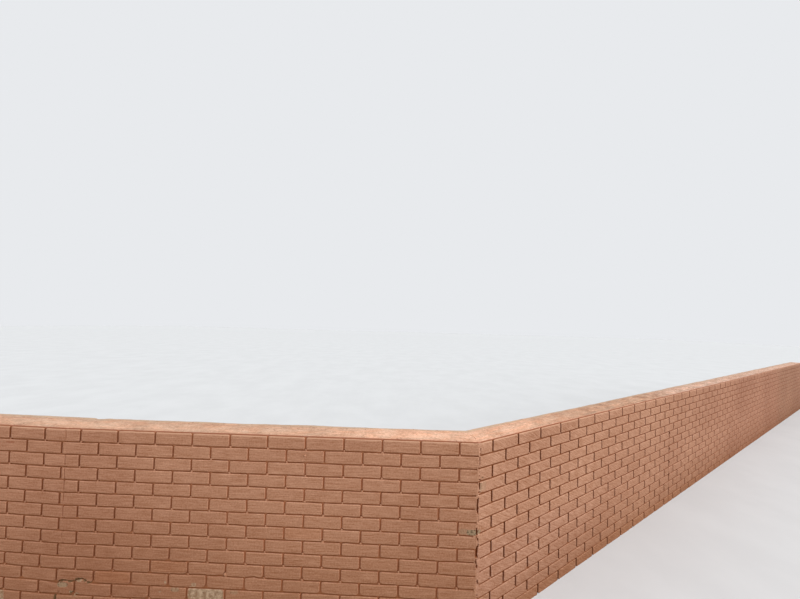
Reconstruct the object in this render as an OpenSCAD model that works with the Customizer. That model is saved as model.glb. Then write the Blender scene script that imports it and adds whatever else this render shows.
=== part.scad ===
// Painted brick garden wall that bends at a corner and runs on in bays.
// Each bay is a solid core with a brick face on both sides and a smooth capping on top.
// The courses stand proud of the core, so the bed joints between them are true recesses.
// Stations are the ends of the bays, counted along the foot of the outer face from left to right.
// Depths are counted from the outer brick face inwards.

/* [Brickwork] */
// Length of one brick with its upright joint
brick_pitch = 203.2; // [190:0.1:230]
// Height of one course with its bed joint
course_pitch = 67.7; // [60:0.1:80]
// Courses above the ground
courses = 15; // [6:1:20]
// Width of the bed joints
joint_w = 10; // [6:0.5:14]
// Depth by which the brick faces stand proud of the joints
relief = 8; // [4:0.5:14]

/* [Wall] */
// Thickness of the core between the two brick faces
core_t = 136; // [100:1:260]
// Thickness of the capping on top of the core
cap_h = 8; // [6:0.5:30]
// Radius of the long top edges of the capping
cap_round = 2; // [1:0.5:5]

/* [Bays] */
// Bricks along a whole bay
bay_bricks = 12; // [8:1:14]
// Length of the left bay that meets the corner
corner_bay_l = 2213; // [1500:1:2600]
// Turn of the right run at the corner in degrees
corner_turn = 28; // [5:1:60]
// Turn of the second left bay at its seam in degrees
left_turn = 2; // [0:0.5:10]

/* [Seams] */
// Width of the open joint at the corner
corner_seam_w = 8; // [4:0.5:16]
// Width of the seam between the left bays
left_seam_w = 4; // [2:0.5:12]
// Width of the seams between the right bays
right_seam_w = 8; // [2:0.5:12]
// Depth of the seam fillings behind the brick faces
seam_recess = 3; // [1:0.5:3.5]

/* [Hidden] */

face_colour = [0.67, 0.47, 0.37];
core_colour = [0.52, 0.33, 0.25];
cap_colour = [0.80, 0.62, 0.51];
seam_colour = [0.45, 0.30, 0.24];

brick_h = course_pitch - joint_w;
core_h = courses * course_pitch - joint_w;
wall_t = core_t + 2 * relief;
bay_l = bay_bricks * brick_pitch;

// Bays from left to right, each with its heading in degrees and its length
left_2 = 0;
left_1 = 1;
right_1 = 2;
right_2 = 3;
right_3 = 4;
right_4 = 5;
BAYS = [
    [-left_turn, bay_l],
    [0, corner_bay_l],
    [corner_turn, bay_l],
    [corner_turn, bay_l],
    [corner_turn, bay_l],
    [corner_turn, bay_l]
];
last_bay = len(BAYS) - 1;
last_station = len(BAYS);

// Width of the seam at each station, with none at the two free ends
SEAMS = [0, left_seam_w, corner_seam_w, right_seam_w, right_seam_w, right_seam_w, 0];

function heading(bay) = BAYS[bay][0];
function length_of(bay) = BAYS[bay][1];
function along(angle) = [cos(angle), sin(angle)];
function across(angle) = [-sin(angle), cos(angle)];
function bay_before(s) = max(s - 1, 0);
function bay_after(s) = min(s, last_bay);
function is_free_end(s) = s == 0 || s == last_station;

// The mitre at a station halves the turn between the bays that meet there
function mitre_angle(s) = (heading(bay_before(s)) + heading(bay_after(s))) / 2;
function half_turn(s) = (heading(bay_after(s)) - heading(bay_before(s))) / 2;

// Outer face line, first from its left end and then about the middle of the whole plan
function raw_station(s) = s == 0
    ? [0, 0]
    : raw_station(s - 1) + length_of(s - 1) * along(heading(s - 1));
function raw_inner(s) = raw_station(s) + wall_t / cos(half_turn(s)) * across(mitre_angle(s));
function axis_middle(points, axis) =
    (min([for (p = points) p[axis]]) + max([for (p = points) p[axis]])) / 2;
PLAN_POINTS = concat(
    [for (s = [0 : last_station]) raw_station(s)],
    [for (s = [0 : last_station]) raw_inner(s)]
);
plan_middle = [axis_middle(PLAN_POINTS, 0), axis_middle(PLAN_POINTS, 1)];
function station(s) = raw_station(s) - plan_middle;

// Point at a depth on the mitre of a station, then moved square to the mitre along one bay
function cut_point(s, bay, depth, move) = station(s)
    + depth / cos(half_turn(s)) * across(mitre_angle(s))
    + move / cos(half_turn(s)) * along(heading(bay));

// How far each kind of piece stops short of a station
function face_trim(s) = SEAMS[s] / 2;
function core_trim(s) = is_free_end(s) ? relief : SEAMS[s] / 2;
function cap_trim(s) = is_free_end(s) ? relief : 0;

// Upright prism of one bay between two depths, cut by the mitres at both ends
module bay_prism(bay, near, far, trim_start, trim_end, height) {
    linear_extrude(height)
        polygon([
            cut_point(bay, bay, near, trim_start),
            cut_point(bay + 1, bay, near, -trim_end),
            cut_point(bay + 1, bay, far, -trim_end),
            cut_point(bay, bay, far, trim_start)
        ]);
}

// Solid middle of one bay, seen in the bed joints
module bay_core(bay) {
    color(core_colour)
        bay_prism(bay, relief, relief + core_t, core_trim(bay), core_trim(bay + 1), core_h);
}

// Courses of one brick face, each a band that stands on the core
module brick_face(bay, near) {
    color(face_colour)
        for (course = [0 : courses - 1])
            translate([0, 0, course * course_pitch])
                bay_prism(bay, near, near + relief, face_trim(bay), face_trim(bay + 1), brick_h);
}

module outer_face(bay) {
    brick_face(bay, 0);
}

module inner_face(bay) {
    brick_face(bay, relief + core_t);
}

// Section of the capping, as wide as the core and rounded along its top edges
module cap_section() {
    square([core_t, cap_h - cap_round]);
    translate([cap_round, 0])
        square([core_t - 2 * cap_round, cap_h]);
    for (edge = [cap_round, core_t - cap_round])
        translate([edge, cap_h - cap_round])
            circle(cap_round, $fn = 32);
}

// Capping of one bay, mitred where the wall turns
module bay_cap(bay) {
    color(cap_colour)
        translate([0, 0, core_h])
            intersection() {
                bay_prism(bay, 0, wall_t, cap_trim(bay), cap_trim(bay + 1), 2 * cap_h);
                translate(station(bay))
                    rotate([0, 0, heading(bay)])
                        translate([-wall_t, relief, 0])
                            rotate([90, 0, 90])
                                linear_extrude(length_of(bay) + 2 * wall_t)
                                    cap_section();
            }
}

// Filling between the bays that meet at a station, set back behind both brick faces
module seam_filling(s) {
    color(seam_colour)
        linear_extrude(core_h)
            polygon([
                cut_point(s, s - 1, seam_recess, -SEAMS[s] / 2),
                cut_point(s, s, seam_recess, SEAMS[s] / 2),
                cut_point(s, s, wall_t - seam_recess, SEAMS[s] / 2),
                cut_point(s, s - 1, wall_t - seam_recess, -SEAMS[s] / 2)
            ]);
}

// Courses across a free end, between the outer and the inner brick face
module end_face(s, bay, inward) {
    color(face_colour)
        for (course = [0 : courses - 1])
            translate([0, 0, course * course_pitch])
                linear_extrude(brick_h)
                    polygon([
                        cut_point(s, bay, relief, 0),
                        cut_point(s, bay, relief, inward * relief),
                        cut_point(s, bay, relief + core_t, inward * relief),
                        cut_point(s, bay, relief + core_t, 0)
                    ]);
}

bay_core(left_2);  // left_core_2
bay_core(left_1);  // left_core_1
bay_core(right_1);  // right_core_1
bay_core(right_2);  // right_core_2
bay_core(right_3);  // right_core_3
bay_core(right_4);  // right_core_4
outer_face(left_2);  // left_outer_face_2
outer_face(left_1);  // left_outer_face_1
outer_face(right_1);  // right_outer_face_1
outer_face(right_2);  // right_outer_face_2
outer_face(right_3);  // right_outer_face_3
outer_face(right_4);  // right_outer_face_4
inner_face(left_2);  // left_inner_face_2
inner_face(left_1);  // left_inner_face_1
inner_face(right_1);  // right_inner_face_1
inner_face(right_2);  // right_inner_face_2
inner_face(right_3);  // right_inner_face_3
inner_face(right_4);  // right_inner_face_4
bay_cap(left_2);  // left_cap_2
bay_cap(left_1);  // left_cap_1
bay_cap(right_1);  // right_cap_1
bay_cap(right_2);  // right_cap_2
bay_cap(right_3);  // right_cap_3
bay_cap(right_4);  // right_cap_4
seam_filling(left_1);  // left_seam
seam_filling(right_1);  // corner_seam
seam_filling(right_2);  // right_seam_1
seam_filling(right_3);  // right_seam_2
seam_filling(right_4);  // right_seam_3
end_face(0, left_2, 1);  // left_end_face
end_face(last_station, last_bay, -1);  // right_end_face
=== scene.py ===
"""Looks of the painted brick garden wall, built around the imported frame.

Places on the wall are given in wall coordinates, in metres: the distance along the wall from
the corner (negative on the left run, positive on the right run), the depth behind the outer
brick face, and the height above the ground.
Head joints are counted in half bricks from the corner, and rows from the top course down.
"""
import functools
import math
from collections import namedtuple

import bpy
import numpy as np
from mathutils import Matrix, Vector


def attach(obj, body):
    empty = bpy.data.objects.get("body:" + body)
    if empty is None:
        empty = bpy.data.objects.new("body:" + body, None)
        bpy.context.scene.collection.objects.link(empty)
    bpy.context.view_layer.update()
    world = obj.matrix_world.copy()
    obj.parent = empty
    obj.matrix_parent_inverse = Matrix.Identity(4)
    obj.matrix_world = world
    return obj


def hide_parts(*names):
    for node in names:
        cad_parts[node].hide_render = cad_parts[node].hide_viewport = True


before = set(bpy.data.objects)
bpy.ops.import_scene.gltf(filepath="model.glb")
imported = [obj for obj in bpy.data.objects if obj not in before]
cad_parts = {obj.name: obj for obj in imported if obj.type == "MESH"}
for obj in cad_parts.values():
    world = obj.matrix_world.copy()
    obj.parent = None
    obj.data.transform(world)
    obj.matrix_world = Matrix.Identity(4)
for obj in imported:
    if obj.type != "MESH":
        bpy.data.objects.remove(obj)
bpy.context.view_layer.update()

# Brickwork
BRICK_PITCH = 0.2032
HALF_BRICK = BRICK_PITCH / 2
COURSE_PITCH = 0.0677
COURSES = 15
JOINT_W = 0.010
RELIEF = 0.008

# Section of the wall
CORE_T = 0.136
WALL_T = CORE_T + 2 * RELIEF
CAP_H = 0.008
CORE_TOP = COURSES * COURSE_PITCH - JOINT_W

# Bays from left to right: side, number on that side, heading in degrees, length
WHOLE_BAY = 12 * BRICK_PITCH
CORNER_BAY = 2.213
BAY_PLAN = [
    ("left", 2, -2.0, WHOLE_BAY),
    ("left", 1, 0.0, CORNER_BAY),
    ("right", 1, 28.0, WHOLE_BAY),
    ("right", 2, 28.0, WHOLE_BAY),
    ("right", 3, 28.0, WHOLE_BAY),
    ("right", 4, 28.0, WHOLE_BAY),
]
CORNER_STATION = 2
SEAM_NAMES = [None, "left_seam", "corner_seam", "right_seam_1", "right_seam_2", "right_seam_3", None]
SEAM_WIDTHS = [0.0, 0.004, 0.008, 0.008, 0.008, 0.008, 0.0]

# Colours as they show, from 0 to 255
BRICK_LIGHT = (191, 141, 112)
BRICK_DARK = (181, 131, 103)
# Sides, ledges and floors of the joints: painted shade, darker and browner than the faces, and darkest on
# the right run
LEFT_FLANK = (176, 112, 76)
LEFT_FAR_FLANK = (126, 75, 49)
LEFT_LEDGE = (138, 86, 56)
LEFT_FLOOR = (174, 117, 84)
RIGHT_FLANK = (108, 48, 16)
RIGHT_LEDGE = (138, 82, 50)
RIGHT_FLOOR = (150, 95, 62)
# Painted shade down the sides of the capping
CAP_FLANK = (182, 124, 100)
# The capping near the corner, along the left run, along the right run and far along it: lighter than the
# walls as painted light on its top, and darker away from the corner as painted shade
CAP_CORNER = (218, 171, 143)
CAP_LEFT = (198, 157, 131)
CAP_RIGHT = (187, 146, 120)
CAP_FAR = (200, 163, 142)
CAP_BACK = (188, 166, 142)
CAP_WORN = (176, 124, 100)
CAP_PIT = (138, 84, 62)
CAP_CRACK = (150, 96, 66)
DULL_LIGHT = (170, 145, 116)
DULL_DARK = (94, 77, 58)
PALE_LIGHT = (196, 168, 140)
PALE_DARK = (150, 118, 90)
CRACK_DARK = (104, 80, 54)
STAIN = (146, 82, 54)
# Painted shade in the slots of the fillings
SLOT_SHADE = (144, 85, 54)
# Painted shade round the holes in the right run's first seam
HOLE_SHADE = (98, 52, 32)
FLOOR_COLOUR = (214, 216, 218)
SKY_COLOUR = (232, 234, 237)

# How much of each colour is left towards the foot of the wall and in a band just above the ground,
# both painted shade, and on a brick whose paint is more orange
FOOT_SHADE = (0.785, 0.735, 0.675)
GROUND_BAND_SHADE = (0.90, 0.84, 0.76)
WARM_SHADE = (1.0, 0.90, 0.80)

# How much of each colour is left on the right run, as painted shade that also turns it bluer, and
# low down where that run meets the corner
RIGHT_SHADE = (0.953, 0.973, 1.0)
LOW_CORNER_SHADE = (0.95, 0.945, 0.97)

# The same far along the left run and far along the right run, both painted shade, and on the last
# bay, darker and less red, each with the distances from the corner where it starts and where it is full
RUN_SHADES = [
    (-1.2, -2.4, (0.935, 0.905, 0.90)),
    (1.8, 5.2, (0.89, 0.83, 0.82)),
    (6.9, 7.6, (0.87, 0.90, 0.89)),
]

# Light and dark spots change red, green and blue by these shares: dark ones are browner
GRAIN_HUE = (1.0, 1.42, 1.82)
CAP_GRAIN_HUE = (1.0, 1.20, 1.35)

# Shares by which the capping's paint turns warmer or chalkier from place to place
CAP_WARM = (1.035, 0.98, 0.95)
CAP_CHALKY = (0.965, 1.02, 1.05)

# Heights between which the upper edge of the top course takes on the capping's lighter colour, as painted
# light on this upward-facing edge
TOP_LEDGE = (CORE_TOP - 0.0075, CORE_TOP - 0.002)

# Slope of the streaks on the right run, in radians down to the right
RIGHT_STREAK_ANGLE = -0.52
SPECULAR = 0.10

# Half the floor's size in metres, and the linear colour that it bounces
FLOOR_SIZE = 60.0
FLOOR_BOUNCE = (0.30, 0.26, 0.23, 1.0)

# Light of the sky at the horizon and overhead
SKY_LIGHT = (0.62, 0.86)

# Camera that took the photo: its place in metres, and its turns in radians
CAMERA_PLACE = (-2.3904, -3.7060, 1.614)
CAMERA_YAW = 0.0168
CAMERA_PITCH = 0.0123
CAMERA_ROLL = 0.0272
PHOTO_WIDTH = 800
FOCAL_PIXELS = 254.96
SENSOR_WIDTH = 36.0
SHIFT_Y = 0.0285


# Rows
def height_at(row):
    """Height of a place that is some rows down from the top joint."""
    return CORE_TOP + JOINT_W / 2 - row * COURSE_PITCH


def row_at(z):
    """Rows down from the top joint, for a height."""
    return (CORE_TOP + JOINT_W / 2 - z) / COURSE_PITCH


def row_heights(row):
    """Bottom and top of the bricks in a row, counted from the top course."""
    bottom = (COURSES - row) * COURSE_PITCH
    return bottom, bottom + COURSE_PITCH - JOINT_W


# Plan of the wall
def along(heading):
    return np.array([math.cos(heading), math.sin(heading), 0.0])


def across(heading):
    return np.array([-math.sin(heading), math.cos(heading), 0.0])


class Bay:
    """One straight bay between two stations, with half the turn and the whole seam at each."""

    def __init__(self, side, number, heading, start_point, start, end):
        self.side = side
        self.number = number
        self.heading = heading
        self.start_point = start_point
        self.start = start
        self.end = end
        self.turns = [0.0, 0.0]
        self.seams = [0.0, 0.0]

    def named(self, kind):
        return f"{self.side}_{kind}_{self.number}"

    def limits(self, depth, trimmed=True):
        """Where the bay starts and ends at a depth, with its mitres and half of each seam."""
        trims = [w / 2 / math.cos(t) if trimmed else 0.0 for w, t in zip(self.seams, self.turns)]
        return (
            self.start + depth * math.tan(self.turns[0]) + trims[0],
            self.end - depth * math.tan(self.turns[1]) - trims[1],
        )

    def place(self, points):
        """Wall coordinates to frame coordinates."""
        points = np.asarray(points, float)
        moved = self.start_point + np.outer(points[:, 0] - self.start, along(self.heading))
        moved = moved + np.outer(points[:, 1], across(self.heading))
        moved[:, 2] = points[:, 2]
        return moved


def make_bays():
    point = np.zeros(3)
    distance = -sum(length for *_, length in BAY_PLAN[:CORNER_STATION])
    bays = []
    for side, number, degrees, length in BAY_PLAN:
        heading = math.radians(degrees)
        bays.append(Bay(side, number, heading, point, distance, distance + length))
        point = point + length * along(heading)
        distance += length
    for before, after, seam in zip(bays, bays[1:], SEAM_WIDTHS[1:]):
        half_turn = (after.heading - before.heading) / 2
        before.turns[1] = after.turns[0] = half_turn
        before.seams[1] = after.seams[0] = seam
    corners = [
        bay.place([(s, depth, 0.0)])[0]
        for bay in bays
        for depth in (0.0, WALL_T)
        for s in bay.limits(depth, trimmed=False)
    ]
    middle = (np.min(corners, axis=0) + np.max(corners, axis=0)) / 2
    for bay in bays:
        bay.start_point = bay.start_point - middle
    return bays


BAYS = make_bays()


# Smooth seeded noise for the shapes
def lattice(ix, iz, seed):
    """A repeatable value from -1 to 1 for each pair of whole numbers."""
    ix = np.asarray(np.floor(ix), np.int64)
    iz = np.asarray(np.floor(iz), np.int64)
    mixed = (ix * 374761393 + iz * 668265263 + seed * 1274126177) & 0xFFFFFFFF
    mixed = ((mixed ^ (mixed >> 13)) * 1103515245) & 0xFFFFFFFF
    mixed = ((mixed ^ (mixed >> 16)) * 668265263) & 0xFFFFFFFF
    return ((mixed >> 8) & 0xFFFF) / 32767.5 - 1.0


def ease(t):
    return t * t * (3.0 - 2.0 * t)


def noise(x, z, size, seed):
    """Smooth noise from -1 to 1 over lattice cells of the given size."""
    x = np.asarray(x, float) / size
    z = np.asarray(z, float) / size
    fx, fz = ease(x - np.floor(x)), ease(z - np.floor(z))
    low = lattice(x, z, seed) * (1 - fx) + lattice(x + 1, z, seed) * fx
    high = lattice(x, z + 1, seed) * (1 - fx) + lattice(x + 1, z + 1, seed) * fx
    return low * (1 - fz) + high * fz


def ripple(x, size, seed):
    """The same noise along one line."""
    return noise(x, 0 * x, size, seed)


def share(value, low, high):
    """0 below low, 1 above high, and eased between."""
    return ease(np.clip((np.asarray(value, float) - low) / (high - low), 0.0, 1.0))


def hump(value, low, high, rise, fall):
    """1 between two places and 0 outside them, eased over a rise and a fall about the places."""
    return share(value, low - rise[0], low + rise[1]) * (1 - share(value, high - fall[0], high + fall[1]))


# Meshes
SHARP_ANGLE = math.radians(50.0)
FAR_FROM_RIM = 0.03


def band(near, far, turned=False):
    """Faces between two closed rings of vertices. They wind the other way when turned."""
    next_near, next_far = near[1:] + near[:1], far[1:] + far[:1]
    corners = (near, next_near, next_far, far) if turned else (near, far, next_far, next_near)
    return [list(face) for face in zip(*corners)]


def tube(ring_count, size, turned=False):
    """Faces of a tube of closed rings, with both of its ends filled. Only its sides can be turned."""
    rings = [[ring * size + k for k in range(size)] for ring in range(ring_count)]
    sides = [face for near, far in zip(rings, rings[1:]) for face in band(near, far, turned)]
    return sides + [rings[0][::-1], rings[-1]]


class Pile:
    """Collects shapes and joins them into one piece, shaded smooth with sharp edges."""

    def __init__(self):
        self.parts = []
        self.faces = []
        self.count = 0

    def add(self, placed, wall, faces, recess, tint=0.0, rim=FAR_FROM_RIM):
        """A shape: its points in the frame and on the wall, its faces, and values for its paint."""
        spread = [np.broadcast_to(np.asarray(v, float), len(placed)) for v in (recess, tint, rim)]
        self.parts.append((placed, wall, *spread))
        self.faces += [[index + self.count for index in face] for face in faces]
        self.count += len(placed)

    def finish(self, name, material, slot, node):
        points, *values = (np.concatenate(part) for part in zip(*self.parts))
        mesh = bpy.data.meshes.new(name)
        mesh.from_pydata(points.tolist(), [], self.faces)
        for title, numbers in zip(("wall", "recess", "tint", "rim"), values):
            vector = title == "wall"
            layer = mesh.attributes.new(title, "FLOAT_VECTOR" if vector else "FLOAT", "POINT")
            layer.data.foreach_set("vector" if vector else "value", numbers.astype(np.float32).ravel())
        mesh.shade_smooth()
        mesh.set_sharp_from_angle(angle=SHARP_ANGLE)
        mesh.materials.append(material)
        piece = bpy.data.objects.new(name, mesh)
        bpy.context.scene.collection.objects.link(piece)
        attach(piece, "root")
        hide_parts(node)


# One brick: a front grid with rounded corners, rings down its sides, and a flat back
FACE_INSET = 0.0014
LEAST_PIECE = 0.012

# The largest rounding of a corner, as a share of the grid
MOST_ROUNDING = 0.48

# How finely bricks are divided. Each ring has its distance outside the brick's nominal edge, its
# depth behind the brick's face, and how much deeper it lies on top
Detail = namedtuple("Detail", "edge_lines spacing rings")
FINE = Detail(
    (0.0, 0.003, 0.0065, 0.011, 0.020),
    0.026,
    (
        (-0.0006, 0.0005, 0.0012),
        (0.0001, 0.0014, 0.0016),
        (0.0008, 0.0036, 0.0008),
        (0.0016, 0.0066, 0.0),
        (0.0027, 0.0085, 0.0),
    ),
)
PLAIN = Detail(
    (0.0, 0.005, 0.013),
    0.06,
    ((-0.0005, 0.0006, 0.0012), (0.0004, 0.0024, 0.0014), (0.0014, 0.0062, 0.0), (0.0027, 0.0085, 0.0)),
)
BACK = Detail(
    (0.0, 0.005),
    0.07,
    ((-0.0004, 0.0007, 0.0012), (0.0008, 0.0040, 0.0010), (0.0027, 0.0085, 0.0)),
)

# Waves of a brick's edges and of its face: height and length in metres
EDGE_WAVE = (0.0009, 0.022)
FACE_WAVE = (0.0003, 0.045)

# How far whole bricks are set back at most, and their rims always
SET_BACK = 0.0004
RIM_SET_BACK = 0.00015

# Width of the rounding along a brick's upper edge
TOP_ARRIS = 0.0018
TOP_COURSE_ARRIS = 0.0052


def grid_lines(low, high, detail):
    """Lines close together at both ends and about one spacing apart between."""
    room = (high - low) / 2
    shrink = min(1.0, 0.8 * room / detail.edge_lines[-1])
    ends = np.array(detail.edge_lines) * shrink
    count = max(1, round((high - low - 2 * ends[-1]) / detail.spacing))
    middle = np.linspace(low + ends[-1], high - ends[-1], count + 1)[1:-1]
    return np.concatenate([low + ends, middle, high - ends[::-1]])


@functools.lru_cache(maxsize=None)
def border_of(nx, nz):
    """The grid's border vertices, counter-clockwise seen from the front."""
    bottom = [i * nz for i in range(nx)]
    right = [(nx - 1) * nz + j for j in range(1, nz)]
    top = [i * nz + nz - 1 for i in range(nx - 2, -1, -1)]
    left = [j for j in range(nz - 2, 0, -1)]
    return tuple(bottom + right + top + left)


@functools.lru_cache(maxsize=None)
def brick_faces(nx, nz, ring_count, flipped):
    """Faces of a brick, in the order of its points."""
    corners = [i * nz + j for i in range(nx - 1) for j in range(nz - 1)]
    faces = [[a, a + nz, a + nz + 1, a + 1] for a in corners]
    loop = list(border_of(nx, nz))
    for ring in range(ring_count):
        start = nx * nz + ring * len(loop)
        outer = list(range(start, start + len(loop)))
        faces += band(loop, outer)
        loop = outer
    faces.append(loop[::-1])
    return [face[::-1] for face in faces] if flipped else faces


def round_corner(grid, at_high_x, at_high_z, width, height):
    """Moves the grid's border onto an elliptical arc at one of its corners."""
    nx, nz = grid.shape[:2]
    i0, step_i = (nx - 1, -1) if at_high_x else (0, 1)
    j0, step_j = (nz - 1, -1) if at_high_z else (0, 1)
    corner = grid[i0, j0].copy()
    sign = np.array([-1.0 if at_high_x else 1.0, -1.0 if at_high_z else 1.0])
    radii = np.array([width, height])
    moved = {(i0, j0): math.pi / 4}
    for n in range(1, nx - 1):
        i = i0 + step_i * n
        t = abs(grid[i, j0, 0] - corner[0]) / width
        if t < 1.0:
            moved[(i, j0)] = math.pi / 4 * (1 + t)
    for n in range(1, nz - 1):
        j = j0 + step_j * n
        t = abs(grid[i0, j, 1] - corner[1]) / height
        if t < 1.0:
            moved[(i0, j)] = math.pi / 4 * (1 - t)
    for (i, j), angle in moved.items():
        arc = 1.0 - np.array([math.cos(angle), math.sin(angle)])
        grid[i, j] = corner + sign * radii * arc


# Outline of one brick in distance along and height, with its own corners
BrickShape = namedtuple("BrickShape", "low high bottom top corners seed arris", defaults=[TOP_ARRIS])


def shape_brick(shape, detail, bend_bottom, bend_top):
    """Outline points, depths and distances from the rim: the front grid and then each ring."""
    inset = FACE_INSET
    xs = grid_lines(shape.low + inset, shape.high - inset, detail)
    zs = grid_lines(shape.bottom + inset, shape.top - shape.arris, detail)
    nx, nz = len(xs), len(zs)
    grid = np.stack(np.meshgrid(xs, zs, indexing="ij"), axis=-1)
    room = np.array([xs[-1] - xs[0], zs[-1] - zs[0]]) * MOST_ROUNDING
    for (at_high_x, at_high_z), (width, height) in shape.corners.items():
        round_corner(grid, at_high_x, at_high_z, min(width, room[0]), min(height, room[1]))
    flat = grid.reshape(-1, 2)
    border = np.array(border_of(nx, nz))
    loop = flat[border]
    tangent = np.roll(loop, -1, axis=0) - np.roll(loop, 1, axis=0)
    tangent /= np.linalg.norm(tangent, axis=1)[:, None]
    outward = np.stack([tangent[:, 1], -tangent[:, 0]], axis=1)
    wave = EDGE_WAVE[0] * noise(*loop.T, EDGE_WAVE[1], shape.seed)
    loop = loop + outward * wave[:, None]
    flat[border] = loop
    face_depth = FACE_WAVE[0] * noise(*flat.T, FACE_WAVE[1], shape.seed + 1)
    face_depth += SET_BACK * (1 + lattice(shape.seed, 3, 5)) / 2
    face_depth[border] += RIM_SET_BACK
    outlines, depths = [flat], [face_depth]
    on_top = np.clip(outward[:, 1], 0.0, 1.0) ** 2
    insets = inset + (shape.arris - inset) * on_top
    roundness = (shape.arris - inset) / (TOP_COURSE_ARRIS - inset) * on_top
    for outside, depth, more in detail.rings:
        outlines.append(loop + outward * (outside + insets)[:, None])
        depths.append(depth + more * roundness)
    outline = np.concatenate(outlines)
    depth = np.concatenate(depths)
    from_bed = np.minimum(outline[:, 1] - shape.bottom, shape.top - outline[:, 1])
    from_side = np.minimum(outline[:, 0] - shape.low, shape.high - outline[:, 0])
    rim = np.minimum(from_bed, 2 * from_side)
    rise = (outline[:, 1] - shape.bottom) / (shape.top - shape.bottom)
    rise = np.clip(rise, 0.0, 1.0)
    outline[:, 1] += bend_bottom(outline[:, 0]) * (1 - rise) + bend_top(outline[:, 0]) * rise
    outline[:, 1] = np.maximum(outline[:, 1], 0.0)
    return outline, depth, rim, (nx, nz)


# Where the right run's bricks start at the corner, in metres from it, by row
CORNER_STARTS = {
    1: 0.0155, 2: 0.0115, 3: 0.0110, 4: 0.0155, 5: 0.0078, 6: 0.0068, 7: 0.0060, 8: 0.0105,
    9: 0.0090, 10: 0.0075, 11: 0.0135, 12: 0.0115, 13: 0.0085, 14: 0.0065, 15: 0.0060,
}

# Where the left run's bricks end before the corner, in metres from it, where not at the seam
CORNER_END = 0.0041
CORNER_ENDS = {5: 0.0065, 7: 0.0072, 9: 0.0098, 10: 0.0060}

# Rounding of the right run's lower corners at the corner: width and height by row
CORNER_ROUNDINGS = {
    1: (0.008, 0.006),
    2: (0.022, 0.011),
    3: (0.030, 0.012),
    4: (0.034, 0.016),
    5: (0.012, 0.008),
    6: (0.010, 0.006),
    8: (0.014, 0.008),
    9: (0.010, 0.006),
    11: (0.014, 0.010),
}

# Damage on the outer face
# Slumped lower corners: row, head joint, side of the joint that the brick lies on, width, height
SLUMPED_CORNERS = [
    (8, -20, 1, 0.022, 0.010),
    (8, -18, -1, 0.020, 0.014),
    (8, -18, 1, 0.012, 0.008),
    (8, -16, -1, 0.014, 0.012),
    (10, -16, -1, 0.016, 0.012),
    (10, -14, 1, 0.014, 0.012),
    (10, -12, -1, 0.014, 0.010),
    (11, -21, 1, 0.012, 0.008),
    (11, -19, -1, 0.016, 0.010),
    (11, -19, 1, 0.020, 0.012),
    (11, -15, -1, 0.020, 0.012),
    (11, -13, -1, 0.080, 0.017),
    (12, -20, 1, 0.040, 0.020),
    (12, -18, -1, 0.014, 0.012),
    (12, -16, 1, 0.020, 0.014),
    (12, -14, -1, 0.024, 0.016),
    (12, -14, 1, 0.030, 0.018),
    (12, -12, -1, 0.020, 0.014),
    (13, -21, -1, 0.040, 0.020),
    (13, -19, 1, 0.016, 0.012),
    (11, 1, -1, 0.012, 0.014),
]

# Lumps of mortar on the outer face: half bricks, rows down, radius and height in metres
LUMPS = [
    (-9.01, 1.46, 0.0075, 0.0055),
    (-13.0, 10.9, 0.0100, 0.0040),
]

# Rings of a lump, as shares of its radius and of its height
LUMP_RINGS = ((1.0, -0.15), (0.75, 0.5), (0.4, 0.85))
LUMP_SIDES = 10
# The lumps' paint is lighter, as a painted highlight
LUMP_TINT = 1.5

# Every bed joint wanders a little
BED_WAVE = 0.0011
BED_WAVE_LENGTH = 0.1
BED_DROP = 0.0024

# Near the corner the left run's courses sag, by this share of a course for each row down to the
# lowest sagging row, and the sag dies away from the corner over this distance
SAG = 0.0215
SAG_ROW = 11
SAG_REACH = 8 * HALF_BRICK

# A cracked bed joint low on the left run, as points of half bricks and rows down
CRACKED_JOINT_ROW = 12
CRACKED_JOINT = [
    (-22.30, 12.00), (-21.95, 12.15), (-21.83, 12.00), (-21.60, 11.90), (-21.37, 11.92),
    (-21.08, 12.02), (-20.95, 11.85), (-20.68, 11.68), (-20.51, 11.75), (-20.34, 11.93),
    (-20.11, 12.05), (-19.80, 12.00),
]

# Bed joints that are bent: joint below this row, then points of half bricks and rise in metres
BED_BENDS = {
    11: [(-15.0, 0.0), (-14.2, 0.004), (-13.7, -0.001), (-13.2, 0.003), (-12.9, 0.0),
         (-11.9, 0.0), (-11.55, 0.007), (-11.2, 0.0)],
    CRACKED_JOINT_ROW: [
        (place, BED_DROP + (CRACKED_JOINT_ROW - row) * COURSE_PITCH) for place, row in CRACKED_JOINT
    ],
}


def bed_bend(joint_row, outer):
    """A function of distance along that gives how far the bed joint below a row is bent up."""
    if joint_row in (0, COURSES):
        return lambda s: 0.0 * s
    bends = BED_BENDS.get(joint_row, [(0.0, 0.0)]) if outer else [(0.0, 0.0)]
    stops = [place * HALF_BRICK for place, _ in bends]
    rises = [rise for _, rise in bends]
    seed = 71 if outer else 72
    rows_of_sag = np.interp(joint_row, [0, SAG_ROW, COURSES], [0, SAG_ROW, 0]) if outer else 0.0
    sag = COURSE_PITCH * SAG * rows_of_sag

    def bend(s):
        wander = BED_WAVE * noise(s, joint_row + 0.0 * s, BED_WAVE_LENGTH, seed) - BED_DROP
        wander = wander - np.where(s < 0, sag * np.exp(np.minimum(s, 0.0) / SAG_REACH), 0.0)
        return wander + np.interp(s, stops, rises, left=0.0, right=0.0)

    return bend


# Rounding of every brick's corners, by (at high end, at top): least width and height, and how
# much wider and higher it can be
USUAL_CORNERS = {
    (False, False): (0.0045, 0.004, 0.0035, 0.003),
    (True, False): (0.0015, 0.0015, 0.002, 0.002),
    (False, True): (0.001, 0.001, 0.002, 0.002),
    (True, True): (0.001, 0.001, 0.0025, 0.0025),
}

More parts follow.
